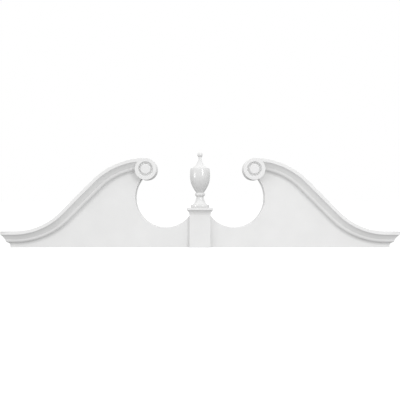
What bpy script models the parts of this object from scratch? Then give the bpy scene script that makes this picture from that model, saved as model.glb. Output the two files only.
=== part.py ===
"""A swan-neck door pediment: a tympanum with two raking crown mouldings that end in volutes, a moulded plinth
block in the middle, and a covered-urn finial on it. Metres, +Z up, the front faces -Y, and the back is flat
against the wall."""

import math

import bmesh
import bpy

# Clearance between pieces that touch
GAP = 0.0003

# Tympanum and the end of the pediment
HALF_WIDTH = 1.067
PANEL_THICKNESS = 0.074
END_FLAT = 0.070
END_STRIP = 0.011

# Crown moulding: height across its face, and depth from front to back, of each member
FILLET_HEIGHT = 0.017
CYMA_HEIGHT = 0.024
CYMA_DEPTH = 0.020
CYMA_SWING = 0.6
FASCIA_STEP = 0.004
FASCIA_HEIGHT = 0.015
BED_HEIGHT = 0.020
BED_DEPTH = 0.017
BED_SWING = -0.4

# Volute: centre, and its ring, groove and button
VOLUTE_X = 0.291
VOLUTE_Z = 0.4215
VOLUTE_RADIUS = 0.0585
VOLUTE_RIM = 0.0185
VOLUTE_GROOVE = 0.0155
VOLUTE_GROOVE_DEPTH = 0.010
VOLUTE_JOIN = math.radians(64)

# Rake: the straight stretch between its two arcs, and the lower arc's share of both radii
RAKE_STRAIGHT = 0.242
CONCAVE_SHARE = 0.466

# Round bay between the volute and the plinth block: the height of its lowest point
BAY_FLOOR = 0.106

# Plinth block and its cap
PLINTH_WIDTH = 0.114
PLINTH_PROJECTION = 0.020
PLINTH_HEIGHT = 0.173
CAP_PROJECTION = 0.0145
CAP_COVE_HEIGHT = 0.0285
CAP_STEP = 0.001
CAP_FILLET_HEIGHT = 0.012
TAB_INSET = 0.001

# Urn: it stands a little forward of the cap's middle, clear of the wall
URN_HEIGHT = 0.3016
URN_FORWARD = 0.003
FOOT_LEDGE = 0.0012
BOWL_OVERHANG = 0.0045
KNOB_RADIUS = 0.0146

# Steps along each curve
CYMA_STEPS = 6
BED_STEPS = 5
CONCAVE_STEPS = 13
CONVEX_STEPS = 13
BAY_STEPS = 26
ROUND_STEP = math.radians(10)
GROOVE_STEPS = 6
COVE_STEPS = 6
KNOB_STEPS = 9
URN_SEGMENTS = 40

# An edge that turns by more than this stays sharp
BODY_ARRIS = math.radians(24)
URN_ARRIS = math.radians(40)

# Points nearer than this are the same point
SAME = 1e-6
MIRROR_MERGE = 1e-4

# Painted finishes: their linear colours and roughness
BODY_WHITE = (0.84, 0.84, 0.83)
URN_WHITE = (0.86, 0.86, 0.85)
SATIN = 0.45
GLOSS = 0.3

# Sizes that follow from those above
CROWN_HEIGHT = FILLET_HEIGHT + CYMA_HEIGHT + FASCIA_HEIGHT + BED_HEIGHT
CROWN_PROJECTION = CYMA_DEPTH + FASCIA_STEP + BED_DEPTH
END_HEIGHT = CROWN_HEIGHT + END_STRIP
BODY_DEPTH = PANEL_THICKNESS + CROWN_PROJECTION
CAP_DEPTH = PANEL_THICKNESS + PLINTH_PROJECTION + CAP_PROJECTION
CAP_TOP = PLINTH_HEIGHT + CAP_COVE_HEIGHT + CAP_FILLET_HEIGHT
TAB_CORNER = (PLINTH_WIDTH / 2 - TAB_INSET, PLINTH_HEIGHT - GAP)
URN_AXIS = CAP_DEPTH / 2 + URN_FORWARD
FOOT_RADIUS = CAP_DEPTH / 2 - URN_FORWARD - FOOT_LEDGE
URN_RADIUS = FOOT_RADIUS + BOWL_OVERHANG
WALL_Y = max(BODY_DEPTH, CAP_DEPTH, URN_AXIS + URN_RADIUS) / 2

# The rake drops from the volute's top to the end's top, and is level at both
RISE = VOLUTE_Z + VOLUTE_RADIUS - END_HEIGHT
RUN = HALF_WIDTH - END_FLAT - VOLUTE_X
PITCH = 2 * math.atan2(RISE, RUN + RAKE_STRAIGHT)
BOTH_RADII = (RISE - RAKE_STRAIGHT * math.sin(PITCH)) / (1 - math.cos(PITCH))
CONCAVE_RADIUS = CONCAVE_SHARE * BOTH_RADII
CONVEX_RADIUS = BOTH_RADII - CONCAVE_RADIUS


def material(name, colour, roughness):
    """A painted finish."""
    made = bpy.data.materials.new(name)
    made.use_nodes = True
    shader = made.node_tree.nodes["Principled BSDF"]
    shader.inputs["Base Color"].default_value = (*colour, 1.0)
    shader.inputs["Roughness"].default_value = roughness
    shader.inputs["Metallic"].default_value = 0.0
    return made


def finish_object(name, bm, sharp_angle, finish):
    """An object from the mesh, with its round faces smooth and its arrises sharp."""
    bmesh.ops.recalc_face_normals(bm, faces=bm.faces[:])
    mesh = bpy.data.meshes.new(name)
    bm.to_mesh(mesh)
    bm.free()
    mesh.shade_smooth()
    mesh.set_sharp_from_angle(angle=sharp_angle)
    mesh.materials.append(finish)
    made = bpy.data.objects.new(name, mesh)
    bpy.context.scene.collection.objects.link(made)
    return made


def cyma(start, size, swing, steps):
    """A double curve from start, as (inset, recess) points. It is deepest at its ends where swing is above 0."""
    points = []
    for step in range(1, steps + 1):
        t = step / steps
        wave = swing * math.sin(2 * math.pi * t) / (2 * math.pi)
        points.append((start[0] + size[0] * (t - wave), start[1] + size[1] * (t + wave)))
    return points


def bezier(start, pull_start, pull_end, end, steps):
    """Points of a cubic curve after its start."""
    points = []
    for step in range(1, steps + 1):
        t = step / steps
        weights = ((1 - t) ** 3, 3 * t * (1 - t) ** 2, 3 * t * t * (1 - t), t**3)
        corners = (start, pull_start, pull_end, end)
        points.append(tuple(sum(w * c[axis] for w, c in zip(weights, corners)) for axis in (0, 1)))
    return points


def crown_profile():
    """The crown's section: (inset from its outer edge, recess behind its front), from the fillet to the panel."""
    points = [(0.0, 0.0), (FILLET_HEIGHT, 0.0)]
    points += cyma(points[-1], (CYMA_HEIGHT, CYMA_DEPTH), CYMA_SWING, CYMA_STEPS)
    inset, recess = points[-1]
    points.append((inset, recess + FASCIA_STEP))
    points.append((inset + FASCIA_HEIGHT, recess + FASCIA_STEP))
    points += cyma(points[-1], (BED_HEIGHT, BED_DEPTH), BED_SWING, BED_STEPS)
    return points


def volute_angle(inset):
    """Where the rake's line at this inset ends on the volute: the angle about the rake's upper centre, from +Z."""
    reach = CONVEX_RADIUS - inset
    apart = CONVEX_RADIUS - VOLUTE_RADIUS
    cosine = (reach**2 + apart**2 - VOLUTE_RADIUS**2) / (2 * reach * apart)
    return math.acos(min(1.0, cosine))


def rake_line(inset, recess):
    """One line of the crown as (x, z) points, from the mitre at the end to the volute."""
    line = [(HALF_WIDTH - recess, END_HEIGHT - inset)]
    for step in range(CONCAVE_STEPS + 1):
        angle = PITCH * step / CONCAVE_STEPS
        reach = CONCAVE_RADIUS + inset
        centre_z = END_HEIGHT + CONCAVE_RADIUS
        line.append((HALF_WIDTH - END_FLAT - reach * math.sin(angle), centre_z - reach * math.cos(angle)))
    last = volute_angle(inset)
    for step in range(CONVEX_STEPS + 1):
        angle = PITCH + (last - PITCH) * step / CONVEX_STEPS
        reach = CONVEX_RADIUS - inset
        centre_z = VOLUTE_Z + VOLUTE_RADIUS - CONVEX_RADIUS
        line.append((VOLUTE_X + reach * math.sin(angle), centre_z + reach * math.cos(angle)))
    return line


def on_volute(angle, radius):
    """A point of the volute's face, with the angle from +X towards +Z."""
    return VOLUTE_X + radius * math.cos(angle), VOLUTE_Z + radius * math.sin(angle)


def angles_between(start, end):
    """The angles strictly between two others, about one round step apart."""
    count = max(1, round(abs(end - start) / ROUND_STEP))
    return [start + (end - start) * step / count for step in range(1, count)]


def bay_circle():
    """Centre and radius of the bay, which touches its floor line and passes the volute and the centre tab."""
    far_x, far_z = on_volute(-VOLUTE_JOIN, VOLUTE_RADIUS)
    near_x, near_z = TAB_CORNER
    far, near = far_z - BAY_FLOOR, near_z - BAY_FLOOR
    squared = near - far
    linear = near * far_x - far * near_x
    root = math.sqrt(far * near * ((far_x - near_x) ** 2 + (far - near) ** 2))
    centre_x = (linear - root) / squared
    radius = ((far_x - centre_x) ** 2 + far**2) / (2 * far)
    return centre_x, BAY_FLOOR + radius, radius


def bay_arc():
    """The bay's edge below the volute, as (x, z) points from the volute to the centre tab, both left out."""
    centre_x, centre_z, radius = bay_circle()
    far_x, far_z = on_volute(-VOLUTE_JOIN, VOLUTE_RADIUS)
    near_x, near_z = TAB_CORNER
    start = math.atan2(far_z - centre_z, far_x - centre_x)
    end = math.atan2(near_z - centre_z, near_x - centre_x)
    if end > start:
        end -= 2 * math.pi
    angles = [start + (end - start) * step / BAY_STEPS for step in range(1, BAY_STEPS)]
    return [(centre_x + radius * math.cos(a), centre_z + radius * math.sin(a)) for a in angles]


def volute_face():
    """The volute's turned face inside its outer edge, as (radius, recess): rim, groove, button."""
    inner = VOLUTE_RADIUS - VOLUTE_RIM
    points = [(inner, 0.0)]
    for step in range(1, GROOVE_STEPS + 1):
        turn = math.pi * step / GROOVE_STEPS
        radius = inner - VOLUTE_GROOVE * (1 - math.cos(turn)) / 2
        points.append((radius, VOLUTE_GROOVE_DEPTH * math.sin(turn)))
    return points


class HalfBody:
    """The pediment's right half as one open mesh, cut at x = 0, to be mirrored."""

    def __init__(self):
        self.bm = bmesh.new()
        self.profile = crown_profile()
        lines = [rake_line(*point) for point in self.profile]
        self.grid = [
            [self.vertex(line[station], recess) for line, (_, recess) in zip(lines, self.profile)]
            for station in range(len(lines[0]))
        ]
        self.seam = self.seam_with_volute()
        self.rim = self.rim_of_volute()

    def vertex(self, point, recess):
        return self.bm.verts.new((point[0], WALL_Y - BODY_DEPTH + recess, point[1]))

    def back(self, point):
        return self.bm.verts.new((point[0], WALL_Y, point[1]))

    def seam_with_volute(self):
        """Where the crown and the panel meet the volute: (angle, vertices from front to back) round its edge."""
        seam = []
        for (inset, recess), vertex in zip(self.profile, self.grid[-1]):
            angle = math.atan2(vertex.co.z - VOLUTE_Z, vertex.co.x - VOLUTE_X)
            if seam and abs(angle - seam[-1][0]) < SAME:
                seam[-1][1].append(vertex)
                continue
            if seam and abs(vertex.co.y - seam[-1][1][-1].co.y) < SAME:
                seam += self.seam_between(seam[-1][0], angle, recess)
            seam.append((angle, [vertex]))
        seam += self.seam_between(seam[-1][0], -VOLUTE_JOIN, CROWN_PROJECTION)
        end = self.vertex(on_volute(-VOLUTE_JOIN, VOLUTE_RADIUS), CROWN_PROJECTION)
        seam.append((-VOLUTE_JOIN, [end]))
        return seam

    def seam_between(self, start, end, recess):
        angles = angles_between(start, end)
        return [(angle, [self.vertex(on_volute(angle, VOLUTE_RADIUS), recess)]) for angle in angles]

    def rim_of_volute(self):
        """The volute's front edge as (angle, vertex), down its outer side and back up its free side."""
        rim = []
        for angle, vertices in self.seam:
            coplanar = abs(vertices[0].co.y - (WALL_Y - BODY_DEPTH)) < SAME
            edge = vertices[0] if coplanar else self.vertex(on_volute(angle, VOLUTE_RADIUS), 0.0)
            rim.append((angle, edge))
        for angle in angles_between(-VOLUTE_JOIN, -1.5 * math.pi):
            rim.append((angle, self.vertex(on_volute(angle, VOLUTE_RADIUS), 0.0)))
        return rim

    def make_crown(self):
        """The strips between the crown's lines. The last of each follows the volute's edge."""
        at_seam = [vertex for _, vertices in self.seam for vertex in vertices]
        for first, second in zip(self.grid, self.grid[1:]):
            for place in range(len(self.profile) - 1):
                corners = [first[place], first[place + 1], second[place + 1], second[place]]
                if second is self.grid[-1]:
                    start = at_seam.index(second[place])
                    end = at_seam.index(second[place + 1])
                    corners = corners[:2] + at_seam[start : end + 1][::-1]
                self.bm.faces.new(corners)

    def make_volute_wall(self):
        """The volute's edge where it stands proud of the crown and the panel."""
        sides = zip(self.rim, self.rim[1:], self.seam, self.seam[1:])
        for (_, rim_a), (_, rim_b), (_, below_a), (_, below_b) in sides:
            corners = [rim_a, rim_b, below_b[0]] + below_a[::-1]
            corners = list(dict.fromkeys(corners))
            if len(corners) > 2:
                self.bm.faces.new(corners)

    def make_volute_face(self):
        ring = [vertex for _, vertex in self.rim]
        for radius, recess in volute_face():
            inner = [self.vertex(on_volute(angle, radius), recess) for angle, _ in self.rim]
            for place in range(len(ring)):
                after = (place + 1) % len(ring)
                self.bm.faces.new([ring[place], ring[after], inner[after], inner[place]])
            ring = inner
        self.bm.faces.new(ring)

    def make_panel_and_walls(self):
        """The panel's face, the flat back, and the walls between the outline's front edge and the back."""
        bay = [self.vertex(point, CROWN_PROJECTION) for point in bay_arc()]
        tab = [self.vertex(point, CROWN_PROJECTION) for point in (TAB_CORNER, (0.0, TAB_CORNER[1]))]
        foot = [self.vertex((x, 0.0), CROWN_PROJECTION) for x in (0.0, HALF_WIDTH - CROWN_PROJECTION)]
        low_line = [column[-1] for column in self.grid]
        below_crown = [v for _, vertices in self.seam for v in vertices]
        below_crown = below_crown[below_crown.index(low_line[-1]) + 1 :]
        self.bm.faces.new(foot + low_line + below_crown + bay + tab)

        attached = len(self.seam)
        free_edge = [vertex for _, vertex in self.rim[attached:]][::-1]
        join_rim, join_panel = self.rim[attached - 1][1], below_crown[-1]
        outline = foot + self.grid[0][::-1] + [column[0] for column in self.grid[1:]]
        outline += free_edge + [join_rim] + bay + tab
        back = [self.back((vertex.co.x, vertex.co.z)) for vertex in outline]
        self.bm.faces.new(back)
        for place in range(len(outline) - 1):
            front_a, front_b = outline[place], outline[place + 1]
            corners = [front_a, front_b, back[place + 1], back[place]]
            if front_b is join_rim:
                corners.insert(2, join_panel)
            elif front_a is join_rim:
                corners[0] = join_panel
            self.bm.faces.new(corners)


def make_body(finish):
    half = HalfBody()
    half.make_crown()
    half.make_volute_wall()
    half.make_volute_face()
    half.make_panel_and_walls()
    body = finish_object("pediment_body", half.bm, BODY_ARRIS, finish)
    mirror = body.modifiers.new("other half", "MIRROR")
    mirror.use_axis = (True, False, False)
    mirror.merge_threshold = MIRROR_MERGE
    return body


def cap_levels():
    """The cap's section above the block, as (height, projection): cove, step and fillet."""
    out = CAP_PROJECTION - CAP_STEP
    radius = (out**2 + CAP_COVE_HEIGHT**2) / (2 * out)
    sweep = math.atan2(CAP_COVE_HEIGHT, radius - out)
    levels = []
    for step in range(COVE_STEPS + 1):
        turn = sweep * step / COVE_STEPS
        levels.append((PLINTH_HEIGHT + radius * math.sin(turn), radius * (1 - math.cos(turn))))
    levels.append((levels[-1][0], CAP_PROJECTION))
    levels.append((CAP_TOP, CAP_PROJECTION))
    return levels


def make_plinth(finish):
    """The block in front of the panel, and its cap, which runs back over the centre tab to the wall."""
    bm = bmesh.new()
    half = PLINTH_WIDTH / 2
    face_y = WALL_Y - PANEL_THICKNESS - PLINTH_PROJECTION
    seat_y = WALL_Y - PANEL_THICKNESS - GAP

    def ring(height, out):
        side_x, front_y = half + out, face_y - out
        corners = ((-side_x, WALL_Y), (-side_x, front_y), (side_x, front_y), (side_x, WALL_Y))
        return [bm.verts.new((x, y, height)) for x, y in corners]

    rings = [ring(height, out) for height, out in cap_levels()]
    foot = [bm.verts.new((x, y, 0.0)) for x in (-half, half) for y in (seat_y, face_y)]
    seat = [bm.verts.new((x, seat_y, PLINTH_HEIGHT)) for x in (-half, half)]
    left_foot, right_foot = foot[:2], foot[2:]
    low = rings[0]

    # Block: front, sides, back and underside
    bm.faces.new([left_foot[1], right_foot[1], low[2], low[1]])
    bm.faces.new([left_foot[0], left_foot[1], low[1], seat[0]])
    bm.faces.new([right_foot[0], right_foot[1], low[2], seat[1]])
    bm.faces.new([left_foot[0], right_foot[0], seat[1], seat[0]])
    bm.faces.new([left_foot[0], left_foot[1], right_foot[1], right_foot[0]])

    # Underside of the cap over the tab
    bm.faces.new([seat[0], seat[1], low[3], low[0]])

    # Cap: each level's sides and front, then the flat back and the top
    for below, above in zip(rings, rings[1:]):
        for place in range(3):
            corners = [below[place], below[place + 1], above[place + 1], above[place]]
            if below is low and place != 1:
                corners.insert(1, seat[place // 2])
            bm.faces.new(corners)
    bm.faces.new([ring[0] for ring in rings] + [ring[3] for ring in reversed(rings)])
    bm.faces.new(rings[-1])
    return finish_object("plinth_block", bm, BODY_ARRIS, finish)


def urn_outline():
    """The urn's turned side below its knob, as (share of its greatest radius, share of its height)."""
    foot = FOOT_RADIUS / URN_RADIUS

    # Foot: a disc with a rounded upper edge
    points = [(foot * 0.99, 0.0), (foot, 0.008), (foot, 0.034)]
    points += bezier(points[-1], (foot, 0.045), (foot * 0.97, 0.0500), (0.800, 0.0505), 4)

    # Stem: a hollow sweep up to the waist
    points.append((0.734, 0.052))
    points += bezier(points[-1], (0.717, 0.064), (0.405, 0.094), (0.361, 0.192), 7)

    # Collar: a ring
    points.append((0.405, 0.209))
    points += bezier(points[-1], (0.530, 0.211), (0.545, 0.260), (0.371, 0.2715), 7)

    # Bowl: out to the greatest radius, then in to the lip
    points += bezier(points[-1], (0.929, 0.403), (1.0, 0.491), (1.0, 0.578), 9)
    points += bezier(points[-1], (1.0, 0.652), (0.959, 0.690), (0.935, 0.7035), 4)
    points += bezier(points[-1], (0.928, 0.708), (0.915, 0.7095), (0.885, 0.7098), 2)

    # Lid: a hollow sweep from inside the lip up to the neck
    points.append((0.830, 0.7107))
    points += bezier(points[-1], (0.520, 0.715), (0.211, 0.823), (0.150, 0.867), 8)
    return points


def urn_profile():
    """The urn's whole side as (radius, height above the foot), up to the knob's last ring."""
    points = [(radius * URN_RADIUS, height * URN_HEIGHT) for radius, height in urn_outline()]
    start = math.asin(points[-1][0] / KNOB_RADIUS)
    for step in range(KNOB_STEPS):
        turn = start + (math.pi - start) * step / KNOB_STEPS
        height = URN_HEIGHT - KNOB_RADIUS * (1 + math.cos(turn))
        points.append((KNOB_RADIUS * math.sin(turn), height))
    return points


def make_urn(finish):
    """The urn, turned about its upright axis, standing on the cap."""
    bm = bmesh.new()
    base = CAP_TOP + GAP
    axis_y = WALL_Y - URN_AXIS
    rings = []
    for radius, height in urn_profile():
        ring = []
        for segment in range(URN_SEGMENTS):
            turn = 2 * math.pi * segment / URN_SEGMENTS
            x, y = radius * math.sin(turn), axis_y - radius * math.cos(turn)
            ring.append(bm.verts.new((x, y, base + height)))
        rings.append(ring)
    for below, above in zip(rings, rings[1:]):
        for place in range(URN_SEGMENTS):
            after = (place + 1) % URN_SEGMENTS
            bm.faces.new([below[place], below[after], above[after], above[place]])
    bm.faces.new(rings[0])
    top = bm.verts.new((0.0, axis_y, base + URN_HEIGHT))
    for place in range(URN_SEGMENTS):
        bm.faces.new([rings[-1][place], rings[-1][(place + 1) % URN_SEGMENTS], top])
    return finish_object("urn_finial", bm, URN_ARRIS, finish)


def main():
    for existing in list(bpy.data.objects):
        bpy.data.objects.remove(existing)
    make_body(material("body_paint", BODY_WHITE, SATIN))
    make_plinth(material("plinth_paint", BODY_WHITE, SATIN))
    make_urn(material("urn_paint", URN_WHITE, GLOSS))


main()
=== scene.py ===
import math

import bmesh
import bpy
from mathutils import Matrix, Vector


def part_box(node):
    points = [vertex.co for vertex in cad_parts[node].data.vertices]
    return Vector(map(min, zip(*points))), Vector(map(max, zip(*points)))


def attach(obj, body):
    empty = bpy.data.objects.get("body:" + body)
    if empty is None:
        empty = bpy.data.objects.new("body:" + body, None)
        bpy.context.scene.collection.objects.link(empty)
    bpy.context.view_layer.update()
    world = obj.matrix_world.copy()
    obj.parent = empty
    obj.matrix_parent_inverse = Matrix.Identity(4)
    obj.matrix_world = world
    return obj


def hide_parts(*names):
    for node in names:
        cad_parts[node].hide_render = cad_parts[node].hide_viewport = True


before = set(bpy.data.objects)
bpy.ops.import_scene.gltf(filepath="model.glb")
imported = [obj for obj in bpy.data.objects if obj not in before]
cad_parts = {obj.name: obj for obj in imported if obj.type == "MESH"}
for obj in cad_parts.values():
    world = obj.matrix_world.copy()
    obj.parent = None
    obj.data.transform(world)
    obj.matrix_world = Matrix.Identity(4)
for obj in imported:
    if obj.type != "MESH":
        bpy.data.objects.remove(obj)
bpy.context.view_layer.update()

# Sizes read from the frame
BODY_LOW, BODY_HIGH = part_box("pediment_body")
PLINTH_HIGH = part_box("plinth_block")[1]
URN_LOW, URN_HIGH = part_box("urn_finial")
HALF_WIDTH = BODY_HIGH.x
WALL_Y = BODY_HIGH.y
CROWN_FRONT_Y = BODY_LOW.y
CAP_HALF_WIDTH = PLINTH_HIGH.x
CAP_TOP = PLINTH_HIGH.z
URN_BASE = URN_LOW.z
URN_HEIGHT = URN_HIGH.z - URN_LOW.z
URN_RADIUS = URN_HIGH.x
URN_AXIS_Y = (URN_LOW.y + URN_HIGH.y) / 2

# Tympanum
PANEL_THICKNESS = 0.074
END_FLAT = 0.070
END_STRIP = 0.011
GAP = 0.0003

# Crown moulding: the height across its face and the depth from front to back of each member
FILLET_HEIGHT = 0.017
HOLLOW_HEIGHT = 0.026
HOLLOW_DEPTH = 0.0195
HOLLOW_PULLS = ((0.0043, 0.0064), (0.0129, 0.0128))
FASCIA_STEP = 0.001
FASCIA_HEIGHT = 0.003
BED_HEIGHT = 0.030
BED_DEPTH = 0.0205
BED_SWING = -0.5

# Volute
VOLUTE_X = 0.291
VOLUTE_RADIUS = 0.0585
VOLUTE_Z = BODY_HIGH.z - VOLUTE_RADIUS
VOLUTE_RIM = 0.0175
VOLUTE_GROOVE = 0.0170
VOLUTE_GROOVE_DEPTH = 0.014
VOLUTE_JOIN = math.radians(64)
VOLUTE_TOP = math.radians(-270)

# Rake and bay
RAKE_STRAIGHT = 0.242
CONCAVE_SHARE = 0.466
BAY_FLOOR = 0.106

# Plinth block and its cap
PLINTH_WIDTH = 0.114
PLINTH_PROJECTION = 0.020
PLINTH_HEIGHT = 0.173
CAP_PROJECTION = CAP_HALF_WIDTH - PLINTH_WIDTH / 2
CAP_COVE_HEIGHT = 0.0285
CAP_STEP = 0.001
TAB_INSET = 0.001

# Urn
FOOT_RADIUS = 0.05005
KNOB_RADIUS = 0.0146

# Steps along each curve
HOLLOW_STEPS = 18
BED_STEPS = 24
RAKE_STEPS = 64
BAY_STEPS = 120
HORN_STEPS = 10
ROUND_STEP = math.radians(2.5)
VOLUTE_SEGMENTS = 144
GROOVE_STEPS = 44
COVE_STEPS = 18
CURVE_FINENESS = 3
KNOB_STEPS = 28
URN_SEGMENTS = 144
CORNER_STEPS = 4
BEVEL_STEPS = 3

# Rounding of the arrises. BACK_SHARE is of the radius, RIM_SHARE of the wall below, LONGEST_PULL of a side.
ARRIS_RADIUS = 0.0010
OUTLINE_RADIUS = 0.0012
BACK_SHARE = 0.5
RIM_SHARE = 0.4
URN_ARRIS_RADIUS = 0.0009
CORNER_TURN = math.radians(16)
SHARP_TURN = math.radians(28)
LONGEST_PULL = 0.45
FLATNESS_WEIGHT = 50

# Points nearer than this are the same point
SAME = 1e-6
MIRROR_MERGE = 1e-4

# Sizes that follow from those above
CROWN_HEIGHT = FILLET_HEIGHT + HOLLOW_HEIGHT + FASCIA_HEIGHT + BED_HEIGHT
CROWN_PROJECTION = HOLLOW_DEPTH + FASCIA_STEP + BED_DEPTH
END_HEIGHT = CROWN_HEIGHT + END_STRIP
TAB_CORNER = (PLINTH_WIDTH / 2 - TAB_INSET, PLINTH_HEIGHT - GAP)
RISE = VOLUTE_Z + VOLUTE_RADIUS - END_HEIGHT
RUN = HALF_WIDTH - END_FLAT - VOLUTE_X
PITCH = 2 * math.atan2(RISE, RUN + RAKE_STRAIGHT)
BOTH_RADII = (RISE - RAKE_STRAIGHT * math.sin(PITCH)) / (1 - math.cos(PITCH))
CONCAVE_RADIUS = CONCAVE_SHARE * BOTH_RADII
CONVEX_RADIUS = BOTH_RADII - CONCAVE_RADIUS

# Camera: level, in front of the middle of the crown
CAMERA_DISTANCE = 2.964
CAMERA_HEIGHT = 0.2555
CAMERA_LENS = 50.0
CAMERA_SENSOR = 36.0
CAMERA_REACH = (0.1, 200.0)

# Light from all round, brightest from above and a little from the front
DOME_LIGHT = 0.78
DOME_TOWARDS = Vector((-0.05, -0.18, 0.62))

# Soft boxes: name, degrees round from the front and up, width and height, watts, whether the gloss shows it
SOFT_BOXES = (
    ("high light", (20, 60), (1.2, 1.2), 4.0, False),
    ("left light", (-40, 45), (1.2, 1.2), 4.0, False),
    ("side light", (95, 10), (1.2, 1.2), 20.0, False),
    ("right window", (31, 13), (0.9, 1.4), 24.0, True),
    ("left window", (-62, 2), (0.5, 0.9), 10.0, True),
)
LIGHT_DISTANCE = 4.0
LIGHT_AIM_SHARE = 0.6

# Floor, pale enough to show as white
FLOOR_REACH = 60.0
FLOOR_GREY = 0.25
FLOOR_GLOW = 0.85

# Finishes. Noise runs mostly between the values of NOISE_RANGE, and a pit's floor is a share of the pit.
NOISE_RANGE = (0.3, 0.7)
COLOUR_DETAIL = 3.0
PIT_FLOOR_SHARE = 0.3


def bezier(start, pull_start, pull_end, end, steps):
    """Points of a cubic curve after its start."""
    points = []
    for step in range(1, steps + 1):
        t = step / steps
        weights = ((1 - t) ** 3, 3 * t * (1 - t) ** 2, 3 * t * t * (1 - t), t**3)
        corners = (start, pull_start, pull_end, end)
        points.append(tuple(sum(w * c[axis] for w, c in zip(weights, corners)) for axis in (0, 1)))
    return points


def rounded(points, radius):
    """The line with each of its corners turned into a small curve."""
    line = [Vector(point) for point in points]
    made = [line[0]]
    for before, corner, after in zip(line, line[1:], line[2:]):
        way_in, way_out = corner - before, after - corner
        if way_in.angle(way_out) < CORNER_TURN:
            made.append(corner)
            continue
        pull = min(radius, way_in.length * LONGEST_PULL, way_out.length * LONGEST_PULL)
        start = corner - way_in.normalized() * pull
        end = corner + way_out.normalized() * pull
        for step in range(CORNER_STEPS + 1):
            t = step / CORNER_STEPS
            made.append(start * (1 - t) ** 2 + corner * 2 * t * (1 - t) + end * t**2)
    made.append(line[-1])
    return [tuple(point) for point in made]


def cyma(start, size, swing, steps):
    """A double curve from start, as (inset, recess) points. Above 0, swing makes it steepest at its ends."""
    points = []
    for step in range(1, steps + 1):
        t = step / steps
        wave = swing * math.sin(2 * math.pi * t) / (2 * math.pi)
        points.append((start[0] + size[0] * (t - wave), start[1] + size[1] * (t + wave)))
    return points


def crown_profile():
    """The crown's section from fillet to panel, as (inset from its outer edge, recess behind its front)."""
    points = [(0.0, 0.0), (FILLET_HEIGHT, 0.0)]
    hollow = bezier((0.0, 0.0), *HOLLOW_PULLS, (HOLLOW_HEIGHT, HOLLOW_DEPTH), HOLLOW_STEPS)
    points += [(FILLET_HEIGHT + inset, recess) for inset, recess in hollow]
    inset, recess = points[-1]
    points.append((inset, recess + FASCIA_STEP))
    points.append((inset + FASCIA_HEIGHT, recess + FASCIA_STEP))
    points += cyma(points[-1], (BED_HEIGHT, BED_DEPTH), BED_SWING, BED_STEPS)
    return rounded(points, ARRIS_RADIUS)


def volute_angle(inset):
    """Where the rake's line at this inset ends on the volute, as the angle on its upper arc from +Z."""
    reach = CONVEX_RADIUS - inset
    apart = CONVEX_RADIUS - VOLUTE_RADIUS
    cosine = (reach**2 + apart**2 - VOLUTE_RADIUS**2) / (2 * reach * apart)
    return math.acos(min(1.0, cosine))


def on_upper_arc(angle, inset):
    """A point of the rake's upper arc, with the angle from +Z towards +X."""
    reach = CONVEX_RADIUS - inset
    centre_z = VOLUTE_Z + VOLUTE_RADIUS - CONVEX_RADIUS
    return VOLUTE_X + reach * math.sin(angle), centre_z + reach * math.cos(angle)


def rake_line(inset, recess, last):
    """One line of the crown as (x, z) points, from the mitre at the end to this angle on the upper arc."""
    line = [(HALF_WIDTH - recess, END_HEIGHT - inset)]
    for step in range(RAKE_STEPS + 1):
        angle = PITCH * step / RAKE_STEPS
        reach = CONCAVE_RADIUS + inset
        centre_z = END_HEIGHT + CONCAVE_RADIUS
        line.append((HALF_WIDTH - END_FLAT - reach * math.sin(angle), centre_z - reach * math.cos(angle)))
    for step in range(RAKE_STEPS + 1):
        line.append(on_upper_arc(PITCH + (last - PITCH) * step / RAKE_STEPS, inset))
    return line


def on_volute(angle, radius):
    """A point of the volute's face, with the angle from +X towards +Z."""
    return VOLUTE_X + radius * math.cos(angle), VOLUTE_Z + radius * math.sin(angle)


def angles_between(start, end):
    """The angles strictly between two others, about one round step apart."""
    count = max(1, round(abs(end - start) / ROUND_STEP))
    return [start + (end - start) * step / count for step in range(1, count)]


def bay_arc():
    """The bay's edge below the volute, as (x, z) points from the volute to the centre tab, both left out."""
    far_x, far_z = on_volute(-VOLUTE_JOIN, VOLUTE_RADIUS)
    near_x, near_z = TAB_CORNER
    far, near = far_z - BAY_FLOOR, near_z - BAY_FLOOR
    root = math.sqrt(far * near * ((far_x - near_x) ** 2 + (far - near) ** 2))
    centre_x = (near * far_x - far * near_x - root) / (near - far)
    radius = ((far_x - centre_x) ** 2 + far**2) / (2 * far)
    centre_z = BAY_FLOOR + radius
    start = math.atan2(far_z - centre_z, far_x - centre_x)
    end = math.atan2(near_z - centre_z, near_x - centre_x)
    if end > start:
        end -= 2 * math.pi
    angles = [start + (end - start) * step / BAY_STEPS for step in range(1, BAY_STEPS)]
    return [(centre_x + radius * math.cos(a), centre_z + radius * math.sin(a)) for a in angles]


def volute_face():
    """The volute's turned face inside its outer edge, as (radius, recess): rim, groove, button."""
    inner = VOLUTE_RADIUS - VOLUTE_RIM
    points = [(VOLUTE_RADIUS, 0.0), (inner, 0.0)]
    for step in range(1, GROOVE_STEPS + 1):
        t = step / GROOVE_STEPS
        points.append((inner - VOLUTE_GROOVE * t, VOLUTE_GROOVE_DEPTH * math.sin(math.pi * t) ** 2))
    points.append((0.0, 0.0))
    return rounded(points, ARRIS_RADIUS)[1:-1]


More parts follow.
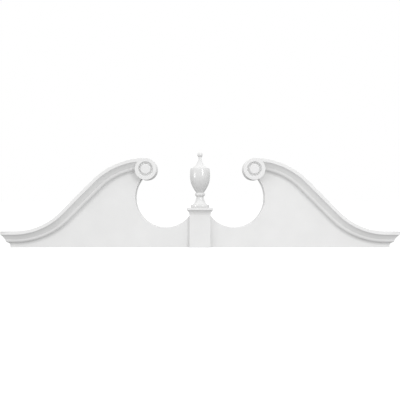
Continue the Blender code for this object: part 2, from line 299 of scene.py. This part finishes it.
class HalfBody:
    """The pediment's right half as one open mesh, cut at x = 0, to be mirrored."""

    def __init__(self):
        self.bm = bmesh.new()
        self.profile = crown_profile()
        fillet_end = volute_angle(self.profile[1][0])
        lines = []
        for inset, recess in self.profile:
            lines.append(rake_line(inset, recess, max(volute_angle(inset), fillet_end)))
        self.grid = [
            [self.vertex(line[station], recess) for line, (_, recess) in zip(lines, self.profile)]
            for station in range(len(lines[0]))
        ]
        self.horn = []
        for step in range(1, HORN_STEPS + 1):
            point = on_upper_arc(fillet_end * (1 - step / HORN_STEPS), 0.0)
            self.horn.append(self.vertex(point, 0.0))
        self.seam = self.seam_with_volute()
        self.rim = self.rim_of_volute()

    def vertex(self, point, recess):
        return self.bm.verts.new((point[0], CROWN_FRONT_Y + recess, point[1]))

    def back(self, point):
        return self.bm.verts.new((point[0], WALL_Y, point[1]))

    def seam_with_volute(self):
        """Where the crown and the panel meet the volute, as (angle, vertices from front to back)."""
        seam = []
        for (_, recess), vertex in zip(self.profile[1:], self.grid[-1][1:]):
            angle = math.atan2(vertex.co.z - VOLUTE_Z, vertex.co.x - VOLUTE_X)
            if seam and abs(angle - seam[-1][0]) < SAME:
                seam[-1][1].append(vertex)
                continue
            if seam and abs(vertex.co.y - seam[-1][1][-1].co.y) < SAME:
                seam += self.seam_between(seam[-1][0], angle, recess)
            seam.append((angle, [vertex]))
        seam += self.seam_between(seam[-1][0], -VOLUTE_JOIN, CROWN_PROJECTION)
        end = self.vertex(on_volute(-VOLUTE_JOIN, VOLUTE_RADIUS), CROWN_PROJECTION)
        seam.append((-VOLUTE_JOIN, [end]))
        return seam

    def seam_between(self, start, end, recess):
        angles = angles_between(start, end)
        return [(angle, [self.vertex(on_volute(angle, VOLUTE_RADIUS), recess)]) for angle in angles]

    def rim_of_volute(self):
        """The volute's front edge as (angle, vertex), from the fillet round its underside to its top."""
        rim = []
        for angle, vertices in self.seam:
            coplanar = abs(vertices[0].co.y - CROWN_FRONT_Y) < SAME
            edge = vertices[0] if coplanar else self.vertex(on_volute(angle, VOLUTE_RADIUS), 0.0)
            rim.append((angle, edge))
        for angle in angles_between(-VOLUTE_JOIN, VOLUTE_TOP):
            rim.append((angle, self.vertex(on_volute(angle, VOLUTE_RADIUS), 0.0)))
        rim.append((VOLUTE_TOP, self.horn[-1]))
        return rim

    def make_crown(self):
        """The strips between the crown's lines. The last of each follows the volute's edge."""
        at_seam = [vertex for _, vertices in self.seam for vertex in vertices]
        for first, second in zip(self.grid, self.grid[1:]):
            for place in range(len(self.profile) - 1):
                corners = [first[place], first[place + 1], second[place + 1], second[place]]
                if place and second is self.grid[-1]:
                    start = at_seam.index(second[place])
                    end = at_seam.index(second[place + 1])
                    corners = corners[:2] + at_seam[start : end + 1][::-1]
                self.bm.faces.new(corners)

    def make_volute_wall(self):
        """The volute's edge where it stands proud of the crown and the panel."""
        sides = zip(self.rim, self.rim[1:], self.seam, self.seam[1:])
        for (_, rim_a), (_, rim_b), (_, below_a), (_, below_b) in sides:
            corners = [rim_a, rim_b, below_b[0]] + below_a[::-1]
            corners = list(dict.fromkeys(corners))
            if len(corners) > 2:
                self.bm.faces.new(corners)

    def make_volute_face(self):
        """The volute's turned face. Its rim runs level into the end of the fillet."""
        rings = []
        for radius, recess in volute_face():
            angles = [math.pi / 2 - 2 * math.pi * step / VOLUTE_SEGMENTS for step in range(VOLUTE_SEGMENTS)]
            rings.append([self.vertex(on_volute(angle, radius), recess) for angle in angles])
        for outer, inner in zip(rings, rings[1:]):
            for place in range(VOLUTE_SEGMENTS):
                after = (place + 1) % VOLUTE_SEGMENTS
                self.bm.faces.new([outer[place], outer[after], inner[after], inner[place]])
        self.bm.faces.new(rings[-1])

        edge = [vertex for _, vertex in self.rim]
        lowest = min(range(len(edge)), key=lambda place: edge[place].co.z)
        middle = VOLUTE_SEGMENTS // 2
        first = rings[0]
        self.bm.faces.new([self.grid[-1][0]] + self.horn + first[: middle + 1] + edge[lowest::-1])
        self.bm.faces.new(edge[lowest:] + [first[0]] + first[:middle - 1:-1])

    def make_panel_and_walls(self):
        """The panel's face, the flat back, and the walls between the outline's front edge and the back."""
        bay = [self.vertex(point, CROWN_PROJECTION) for point in bay_arc()]
        tab = [self.vertex(point, CROWN_PROJECTION) for point in (TAB_CORNER, (0.0, TAB_CORNER[1]))]
        foot = [self.vertex((x, 0.0), CROWN_PROJECTION) for x in (0.0, HALF_WIDTH - CROWN_PROJECTION)]
        self.corners = {self.grid[0][0], foot[-1]}
        low_line = [column[-1] for column in self.grid]
        below_crown = [v for _, vertices in self.seam for v in vertices]
        below_crown = below_crown[below_crown.index(low_line[-1]) + 1 :]
        self.bm.faces.new(foot + low_line + below_crown + bay + tab)

        attached = len(self.seam)
        free_edge = [vertex for _, vertex in self.rim[attached:-1]][::-1]
        join_rim, join_panel = self.rim[attached - 1][1], below_crown[-1]
        outline = foot + self.grid[0][::-1] + [column[0] for column in self.grid[1:]]
        outline += self.horn + free_edge + [join_rim] + bay + tab
        back = [self.back((vertex.co.x, vertex.co.z)) for vertex in outline]
        self.bm.faces.new(back).material_index = 1
        for place in range(len(outline) - 1):
            front_a, front_b = outline[place], outline[place + 1]
            corners = [front_a, front_b, back[place + 1], back[place]]
            if front_b is join_rim:
                corners.insert(2, join_panel)
            elif front_a is join_rim:
                corners[0] = join_panel
            self.bm.faces.new(corners)

    def weigh_arrises(self):
        """How much of the outline's rounding each arris gets, and which edges stay sharp."""
        bmesh.ops.recalc_face_normals(self.bm, faces=self.bm.faces[:])
        weight = self.bm.edges.layers.float.new("bevel_weight_edge")
        below = {vertex for _, vertices in self.seam for vertex in vertices}
        mitre = set(self.grid[0])
        levels = (CROWN_FRONT_Y, CROWN_FRONT_Y + CROWN_PROJECTION)
        wall_below = {}
        for (_, edge), (_, vertices) in zip(self.rim, self.seam):
            wall_below[edge] = vertices[0].co.y - edge.co.y
        for edge in self.bm.edges:
            ends = set(edge.verts)
            if edge.is_boundary or edge.calc_face_angle(0.0) < SHARP_TURN:
                continue
            if all(abs(vertex.co.y - WALL_Y) < SAME for vertex in ends):
                edge[weight] = BACK_SHARE
            elif ends & below or ends <= mitre:
                edge.smooth = False
            elif ends <= set(wall_below):
                least = min(wall_below[vertex] for vertex in ends)
                edge.smooth = least > OUTLINE_RADIUS
                edge[weight] = min(1.0, RIM_SHARE * least / OUTLINE_RADIUS) if edge.smooth else 0.0
            elif ends & self.corners or any(all(abs(v.co.y - y) < SAME for v in ends) for y in levels):
                edge[weight] = 1.0


def soften(piece, radius):
    """Rounds the weighted arrises, and keeps the flat faces flat in the shading."""
    bevel = piece.modifiers.new("rounded arrises", "BEVEL")
    bevel.limit_method = "WEIGHT"
    bevel.width = radius
    bevel.segments = BEVEL_STEPS
    bevel.use_clamp_overlap = False
    flat = piece.modifiers.new("flat faces", "WEIGHTED_NORMAL")
    flat.keep_sharp = True
    flat.weight = FLATNESS_WEIGHT


def new_piece(name, bm, *finishes):
    """A smooth-shaded object from the mesh, riding on the part."""
    bmesh.ops.recalc_face_normals(bm, faces=bm.faces[:])
    for face in bm.faces:
        face.smooth = True
    mesh = bpy.data.meshes.new(name)
    bm.to_mesh(mesh)
    bm.free()
    for finish in finishes:
        mesh.materials.append(finish)
    piece = bpy.data.objects.new(name, mesh)
    bpy.context.scene.collection.objects.link(piece)
    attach(piece, "root")
    return piece


def make_body(paint, back_finish):
    half = HalfBody()
    half.make_crown()
    half.make_volute_wall()
    half.make_volute_face()
    half.make_panel_and_walls()
    half.weigh_arrises()
    body = new_piece("moulded_pediment", half.bm, paint, back_finish)
    mirror = body.modifiers.new("other half", "MIRROR")
    mirror.use_axis = (True, False, False)
    mirror.merge_threshold = MIRROR_MERGE
    soften(body, OUTLINE_RADIUS)
    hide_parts("pediment_body")


def cap_levels():
    """The cap's section above the block, as (height, projection): cove, step and fillet."""
    out = CAP_PROJECTION - CAP_STEP
    radius = (out**2 + CAP_COVE_HEIGHT**2) / (2 * out)
    sweep = math.atan2(CAP_COVE_HEIGHT, radius - out)
    levels = []
    for step in range(COVE_STEPS + 1):
        turn = sweep * step / COVE_STEPS
        levels.append((PLINTH_HEIGHT + radius * math.sin(turn), radius * (1 - math.cos(turn))))
    levels.append((levels[-1][0], CAP_PROJECTION))
    levels.append((CAP_TOP, CAP_PROJECTION))
    return levels


def make_plinth(paint, back_finish):
    """The block in front of the panel, and its cap, which runs back over the centre tab to the wall."""
    bm = bmesh.new()
    half = PLINTH_WIDTH / 2
    face_y = WALL_Y - PANEL_THICKNESS - PLINTH_PROJECTION
    seat_y = WALL_Y - PANEL_THICKNESS - GAP

    def ring(height, out):
        side_x, front_y = half + out, face_y - out
        corners = ((-side_x, WALL_Y), (-side_x, front_y), (side_x, front_y), (side_x, WALL_Y))
        return [bm.verts.new((x, y, height)) for x, y in corners]

    rings = [ring(height, out) for height, out in cap_levels()]
    foot = [bm.verts.new((x, y, 0.0)) for x in (-half, half) for y in (seat_y, face_y)]
    seat = [bm.verts.new((x, seat_y, PLINTH_HEIGHT)) for x in (-half, half)]
    left_foot, right_foot = foot[:2], foot[2:]
    low = rings[0]

    # Block: front, sides, back and underside
    bm.faces.new([left_foot[1], right_foot[1], low[2], low[1]])
    bm.faces.new([left_foot[0], left_foot[1], low[1], seat[0]])
    bm.faces.new([right_foot[0], right_foot[1], low[2], seat[1]])
    bm.faces.new([left_foot[0], right_foot[0], seat[1], seat[0]])
    bm.faces.new([left_foot[0], left_foot[1], right_foot[1], right_foot[0]])

    # Underside of the cap over the tab
    bm.faces.new([seat[0], seat[1], low[3], low[0]])

    # Cap: each level's sides and front, then the flat back and the top
    for below, above in zip(rings, rings[1:]):
        for place in range(3):
            corners = [below[place], below[place + 1], above[place + 1], above[place]]
            if below is low and place != 1:
                corners.insert(1, seat[place // 2])
            bm.faces.new(corners)
    back = bm.faces.new([ring[0] for ring in rings] + [ring[3] for ring in reversed(rings)])
    back.material_index = 1
    bm.faces.new(rings[-1])

    bmesh.ops.recalc_face_normals(bm, faces=bm.faces[:])
    weight = bm.edges.layers.float.new("bevel_weight_edge")
    hidden = set(seat) | {left_foot[0], right_foot[0]}
    for edge in bm.edges:
        if edge.calc_face_angle(0.0) < SHARP_TURN:
            continue
        heights = [vertex.co.z for vertex in edge.verts]
        in_cove = min(heights) > PLINTH_HEIGHT - SAME and max(heights) < rings[-2][0].co.z
        if in_cove or set(edge.verts) & hidden:
            edge.smooth = False
        elif all(abs(vertex.co.y - WALL_Y) < SAME for vertex in edge.verts):
            edge[weight] = BACK_SHARE
        else:
            edge[weight] = 1.0
    plinth = new_piece("moulded_plinth", bm, paint, back_finish)
    soften(plinth, ARRIS_RADIUS)
    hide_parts("plinth_block")


def urn_outline():
    """The urn's turned side below its knob, as (share of its greatest radius, share of its height)."""
    fine = CURVE_FINENESS
    foot = FOOT_RADIUS / URN_RADIUS

    # Foot: a disc with a rounded upper edge
    points = [(foot * 0.99, 0.0), (foot, 0.008), (foot, 0.034)]
    points += bezier(points[-1], (foot, 0.045), (foot * 0.97, 0.0500), (0.800, 0.0505), 4 * fine)

    # Stem: a hollow sweep up to the waist
    points.append((0.734, 0.052))
    points += bezier(points[-1], (0.717, 0.064), (0.405, 0.094), (0.361, 0.192), 7 * fine)

    # Collar: a ring
    points.append((0.405, 0.209))
    points += bezier(points[-1], (0.530, 0.211), (0.545, 0.260), (0.371, 0.2715), 7 * fine)

    # Bowl: out to the greatest radius, then in to the lip
    points += bezier(points[-1], (0.929, 0.403), (1.0, 0.491), (1.0, 0.578), 9 * fine)
    points += bezier(points[-1], (1.0, 0.652), (0.959, 0.690), (0.935, 0.7035), 4 * fine)
    points += bezier(points[-1], (0.928, 0.708), (0.915, 0.7095), (0.885, 0.7098), 2 * fine)

    # Lid: a hollow sweep from inside the lip up to the neck
    points.append((0.830, 0.7107))
    points += bezier(points[-1], (0.520, 0.715), (0.211, 0.823), (0.150, 0.867), 8 * fine)
    return points


def urn_profile():
    """The urn's whole side as (radius, height above the foot), up to the knob's last ring."""
    points = [(radius * URN_RADIUS, height * URN_HEIGHT) for radius, height in urn_outline()]
    start = math.asin(points[-1][0] / KNOB_RADIUS)
    for step in range(KNOB_STEPS):
        turn = start + (math.pi - start) * step / KNOB_STEPS
        height = URN_HEIGHT - KNOB_RADIUS * (1 + math.cos(turn))
        points.append((KNOB_RADIUS * math.sin(turn), height))
    distinct = [points[0]]
    for point in points[1:]:
        if (Vector(point) - Vector(distinct[-1])).length > SAME:
            distinct.append(point)
    return rounded(distinct, URN_ARRIS_RADIUS)


def make_urn(paint):
    """The urn, turned about its upright axis, standing on the cap."""
    bm = bmesh.new()
    rings = []
    for radius, height in urn_profile():
        ring = []
        for segment in range(URN_SEGMENTS):
            turn = 2 * math.pi * segment / URN_SEGMENTS
            x, y = radius * math.sin(turn), URN_AXIS_Y - radius * math.cos(turn)
            ring.append(bm.verts.new((x, y, URN_BASE + height)))
        rings.append(ring)
    for below, above in zip(rings, rings[1:]):
        for place in range(URN_SEGMENTS):
            after = (place + 1) % URN_SEGMENTS
            bm.faces.new([below[place], below[after], above[after], above[place]])
    bm.faces.new(rings[0])
    top = bm.verts.new((0.0, URN_AXIS_Y, URN_BASE + URN_HEIGHT))
    for place in range(URN_SEGMENTS):
        bm.faces.new([rings[-1][place], rings[-1][(place + 1) % URN_SEGMENTS], top])
    bmesh.ops.recalc_face_normals(bm, faces=bm.faces[:])
    for edge in bm.edges:
        edge.smooth = edge.calc_face_angle(0.0) < SHARP_TURN
    urn = new_piece("turned_urn", bm, paint)
    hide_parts("urn_finial")


class Finish:
    """A material whose colour, roughness and relief come from noise in the object's own space."""

    def __init__(self, name):
        self.material = bpy.data.materials.new(name)
        self.material.use_nodes = True
        self.nodes = self.material.node_tree.nodes
        self.links = self.material.node_tree.links
        self.shader = self.nodes["Principled BSDF"]
        self.space = self.nodes.new("ShaderNodeTexCoord")
        self.relief = None

    def noise(self, spacing, detail=2.0):
        """Noise whose lumps are about this far apart, in metres."""
        made = self.nodes.new("ShaderNodeTexNoise")
        made.inputs["Scale"].default_value = 1.0 / spacing
        made.inputs["Detail"].default_value = detail
        self.links.new(self.space.outputs["Object"], made.inputs["Vector"])
        return made.outputs["Fac"]

    def pits(self, spacing, size):
        """Small round pits about this far apart: 0 in a pit and 1 between them."""
        made = self.nodes.new("ShaderNodeTexVoronoi")
        made.inputs["Scale"].default_value = 1.0 / spacing
        self.links.new(self.space.outputs["Object"], made.inputs["Vector"])
        edge = size / spacing
        return self.ramp(made.outputs["Distance"], (PIT_FLOOR_SHARE * edge, edge), (0.0, 1.0))

    def ramp(self, source, before, after):
        """The source with one range of values, low and high, turned into another."""
        made = self.nodes.new("ShaderNodeMapRange")
        made.inputs["From Min"].default_value, made.inputs["From Max"].default_value = before
        made.inputs["To Min"].default_value, made.inputs["To Max"].default_value = after
        self.links.new(source, made.inputs["Value"])
        return made.outputs["Result"]

    def colour(self, dark, light, spacing):
        """Soft patches between two colours."""
        blend = self.nodes.new("ShaderNodeMix")
        blend.data_type = "RGBA"
        blend.inputs["A"].default_value = (*dark, 1.0)
        blend.inputs["B"].default_value = (*light, 1.0)
        patches = self.ramp(self.noise(spacing, COLOUR_DETAIL), NOISE_RANGE, (0.0, 1.0))
        self.links.new(patches, blend.inputs["Factor"])
        self.links.new(blend.outputs["Result"], self.shader.inputs["Base Color"])

    def roughness(self, low, high, spacing):
        patches = self.ramp(self.noise(spacing), NOISE_RANGE, (low, high))
        self.links.new(patches, self.shader.inputs["Roughness"])

    def coat(self, weight, roughness):
        self.shader.inputs["Coat Weight"].default_value = weight
        self.shader.inputs["Coat Roughness"].default_value = roughness

    def bump(self, height, depth):
        """Adds relief this deep, in metres, to what is there."""
        made = self.nodes.new("ShaderNodeBump")
        made.inputs["Strength"].default_value = 1.0
        made.inputs["Distance"].default_value = depth
        self.links.new(height, made.inputs["Height"])
        if self.relief:
            self.links.new(self.relief, made.inputs["Normal"])
        self.relief = made.outputs["Normal"]
        self.links.new(self.relief, self.shader.inputs["Normal"])


def satin_paint(name):
    """White satin paint on moulded foam: faint orange peel, slow waves and a few pinholes."""
    finish = Finish(name)
    finish.colour(dark=(0.748, 0.748, 0.746), light=(0.776, 0.776, 0.774), spacing=0.12)
    finish.roughness(low=0.38, high=0.50, spacing=0.03)
    finish.bump(finish.noise(spacing=0.09, detail=1.0), depth=0.0006)
    finish.bump(finish.noise(spacing=0.0016), depth=0.00003)
    finish.bump(finish.pits(spacing=0.035, size=0.0006), depth=0.0001)
    return finish.material


def gloss_paint_with_painted_shade(name):
    """The urn's smoother white paint, under a clear coat. Its white is set darker than the body's white, as
    painted shade over the whole urn.
    """
    finish = Finish(name)
    # Painted shade: this white is darker than the body's so that the whole urn looks shaded
    finish.colour(dark=(0.670, 0.670, 0.668), light=(0.694, 0.694, 0.692), spacing=0.05)
    finish.roughness(low=0.17, high=0.23, spacing=0.02)
    finish.bump(finish.noise(spacing=0.0022), depth=0.00001)
    finish.coat(weight=1.0, roughness=0.07)
    return finish.material


def bare_back(name):
    """The unpainted back: skinned foam, a little warm, with many small pores."""
    finish = Finish(name)
    finish.colour(dark=(0.76, 0.75, 0.72), light=(0.82, 0.81, 0.78), spacing=0.04)
    finish.roughness(low=0.60, high=0.75, spacing=0.02)
    finish.bump(finish.noise(spacing=0.012, detail=4.0), depth=0.0004)
    finish.bump(finish.pits(spacing=0.007, size=0.0012), depth=0.0004)
    return finish.material


def make_floor():
    """A wide pale floor. It doesn't shade or light the part, as in the photograph."""
    half = FLOOR_REACH
    mesh = bpy.data.meshes.new("floor")
    corners = [(-half, -half, 0.0), (half, -half, 0.0), (half, half, 0.0), (-half, half, 0.0)]
    mesh.from_pydata(corners, [], [(0, 1, 2, 3)])
    material = bpy.data.materials.new("floor")
    material.use_nodes = True
    shader = material.node_tree.nodes["Principled BSDF"]
    shader.inputs["Base Color"].default_value = (FLOOR_GREY, FLOOR_GREY, FLOOR_GREY, 1.0)
    shader.inputs["Roughness"].default_value = 1.0
    shader.inputs["Specular IOR Level"].default_value = 0.0
    shader.inputs["Emission Color"].default_value = (1.0, 1.0, 1.0, 1.0)
    shader.inputs["Emission Strength"].default_value = FLOOR_GLOW
    mesh.materials.append(material)
    floor = bpy.data.objects.new("floor", mesh)
    bpy.context.scene.collection.objects.link(floor)
    floor.visible_diffuse = False
    floor.visible_glossy = False
    floor.visible_shadow = False


def make_dome():
    """A dome of soft light whose strength changes evenly with the direction. The camera sees plain white."""
    world = bpy.data.worlds.new("soft dome")
    world.use_nodes = True
    nodes, links = world.node_tree.nodes, world.node_tree.links
    nodes.clear()
    towards = nodes.new("ShaderNodeTexCoord")
    slope = nodes.new("ShaderNodeVectorMath")
    slope.operation = "DOT_PRODUCT"
    slope.inputs[1].default_value = DOME_TOWARDS
    links.new(towards.outputs["Generated"], slope.inputs[0])
    strength = nodes.new("ShaderNodeMath")
    strength.operation = "ADD"
    strength.inputs[1].default_value = DOME_LIGHT
    links.new(slope.outputs["Value"], strength.inputs[0])
    dome = nodes.new("ShaderNodeBackground")
    links.new(strength.outputs["Value"], dome.inputs["Strength"])
    white = nodes.new("ShaderNodeBackground")
    path = nodes.new("ShaderNodeLightPath")
    shown = nodes.new("ShaderNodeMixShader")
    links.new(path.outputs["Is Camera Ray"], shown.inputs["Fac"])
    links.new(dome.outputs["Background"], shown.inputs[1])
    links.new(white.outputs["Background"], shown.inputs[2])
    white.inputs["Color"].default_value = (1.0, 1.0, 1.0, 1.0)
    dome.inputs["Color"].default_value = (1.0, 1.0, 1.0, 1.0)
    output = nodes.new("ShaderNodeOutputWorld")
    links.new(shown.outputs["Shader"], output.inputs["Surface"])
    bpy.context.scene.world = world


def soft_box(name, direction, size, power, glints):
    """A light that faces the urn from this direction, in degrees round from the front and up."""
    turn, lift = (math.radians(angle) for angle in direction)
    way = Vector((math.sin(turn) * math.cos(lift), -math.cos(turn) * math.cos(lift), math.sin(lift)))
    light = bpy.data.lights.new(name, "AREA")
    light.shape = "RECTANGLE"
    light.size, light.size_y = size
    light.energy = power
    box = bpy.data.objects.new(name, light)
    box.location = Vector((0.0, URN_AXIS_Y, URN_BASE + URN_HEIGHT * LIGHT_AIM_SHARE)) + way * LIGHT_DISTANCE
    box.rotation_mode = "QUATERNION"
    box.rotation_quaternion = way.to_track_quat("Z", "Y")
    box.visible_camera = False
    box.visible_glossy = glints
    bpy.context.scene.collection.objects.link(box)


def make_camera():
    """A level camera in front of the part's middle."""
    data = bpy.data.cameras.new("camera")
    data.lens = CAMERA_LENS
    data.sensor_width = CAMERA_SENSOR
    data.clip_start, data.clip_end = CAMERA_REACH
    camera = bpy.data.objects.new("camera", data)
    camera.location = (0.0, CROWN_FRONT_Y - CAMERA_DISTANCE, CAMERA_HEIGHT)
    camera.rotation_euler = (math.pi / 2, 0.0, 0.0)
    bpy.context.scene.collection.objects.link(camera)
    bpy.context.scene.camera = camera


bpy.context.scene.view_settings.view_transform = "Standard"
make_camera()
body_paint = satin_paint("satin_white")
back_finish = bare_back("bare_back")
make_body(body_paint, back_finish)
make_plinth(body_paint, back_finish)
make_urn(gloss_paint_with_painted_shade("gloss_white_painted_shade"))
make_floor()
make_dome()
for settings in SOFT_BOXES:
    soft_box(*settings)
